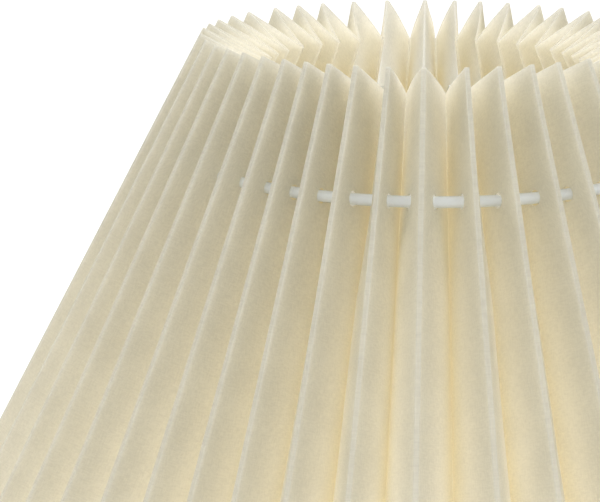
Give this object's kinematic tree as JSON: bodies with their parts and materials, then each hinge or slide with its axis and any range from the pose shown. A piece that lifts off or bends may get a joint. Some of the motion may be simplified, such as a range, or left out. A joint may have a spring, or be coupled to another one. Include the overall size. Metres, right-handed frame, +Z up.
{
  "type": "pleated paper table lamp",
  "caption": "Table lamp with a conical pleated paper shade threaded on a wire ring, resting on a four-armed carrier above a turned foot and column.",
  "frame": {"origin": "centre of the face that the lamp rests on", "axes": "+Z up, -Y towards the viewer of the picture, the cable inlet at +Y"},
  "size_m": [0.3604, 0.3604, 0.45],
  "materials": {
    "shade_paper": "matt laminated paper",
    "white_wire": "satin white coating",
    "pale_wood": "oiled, satin",
    "felt": "matt felt",
    "iron": "rough",
    "zinc_steel": "zinc plated",
    "brass": "satin",
    "holder_plastic": "gloss",
    "bush_plastic": "matt",
    "insert_ceramic": "matt",
    "bulb_metal": "satin",
    "bulb_glaze": "gloss black",
    "opal_glass": "opal",
    "clear_glass": "clear",
    "lit_rods": "matt"
  },
  "bodies": {
    "stand": {"felt_pad": "felt", "foot": "pale_wood", "cable_bush": "bush_plastic", "ballast_plate": "iron", "tube_washer": "zinc_steel", "tube_nut": "zinc_steel", "threaded_tube": "zinc_steel", "column": "pale_wood", "neck_collar": "brass", "lock_nut": "brass", "holder_cap": "holder_plastic", "holder_insert": "insert_ceramic", "centre_contact": "brass", "holder_sleeve": "brass", "holder_skirt": "holder_plastic", "lower_shade_nut": "holder_plastic", "upper_shade_nut": "holder_plastic", "bulb_tip": "bulb_metal", "bulb_insulator": "bulb_glaze", "bulb_cap": "bulb_metal", "bulb_glass": "opal_glass", "bulb_stem": "clear_glass", "bulb_filaments": "lit_rods"},
    "switch": {"switch_bar": "holder_plastic"},
    "carrier": {"carrier_hub": "white_wire", "carrier_arm_front": "white_wire", "carrier_arm_right": "white_wire", "carrier_arm_back": "white_wire", "carrier_arm_left": "white_wire"},
    "shade": {"shade_strip_back": "shade_paper", "shade_strip_front": "shade_paper", "upper_ring": "white_wire", "ring_ferrule": "white_wire", "lower_hoop": "white_wire"}
  },
  "joints": [
    {"name": "shade_turn", "type": "hinge", "parent": "stand", "child": "carrier", "pos_m": [0, 0, 0.321], "axis": [0, 0, 1], "continuous": true},
    {"name": "shade_lift", "type": "slide", "parent": "carrier", "child": "shade", "axis": [0, 0, 1], "range_m": [0, 0.2]},
    {"name": "switch_push", "type": "slide", "parent": "stand", "child": "switch", "axis": [-1, 0, 0], "range_m": [0, 0.003]}
  ]
}
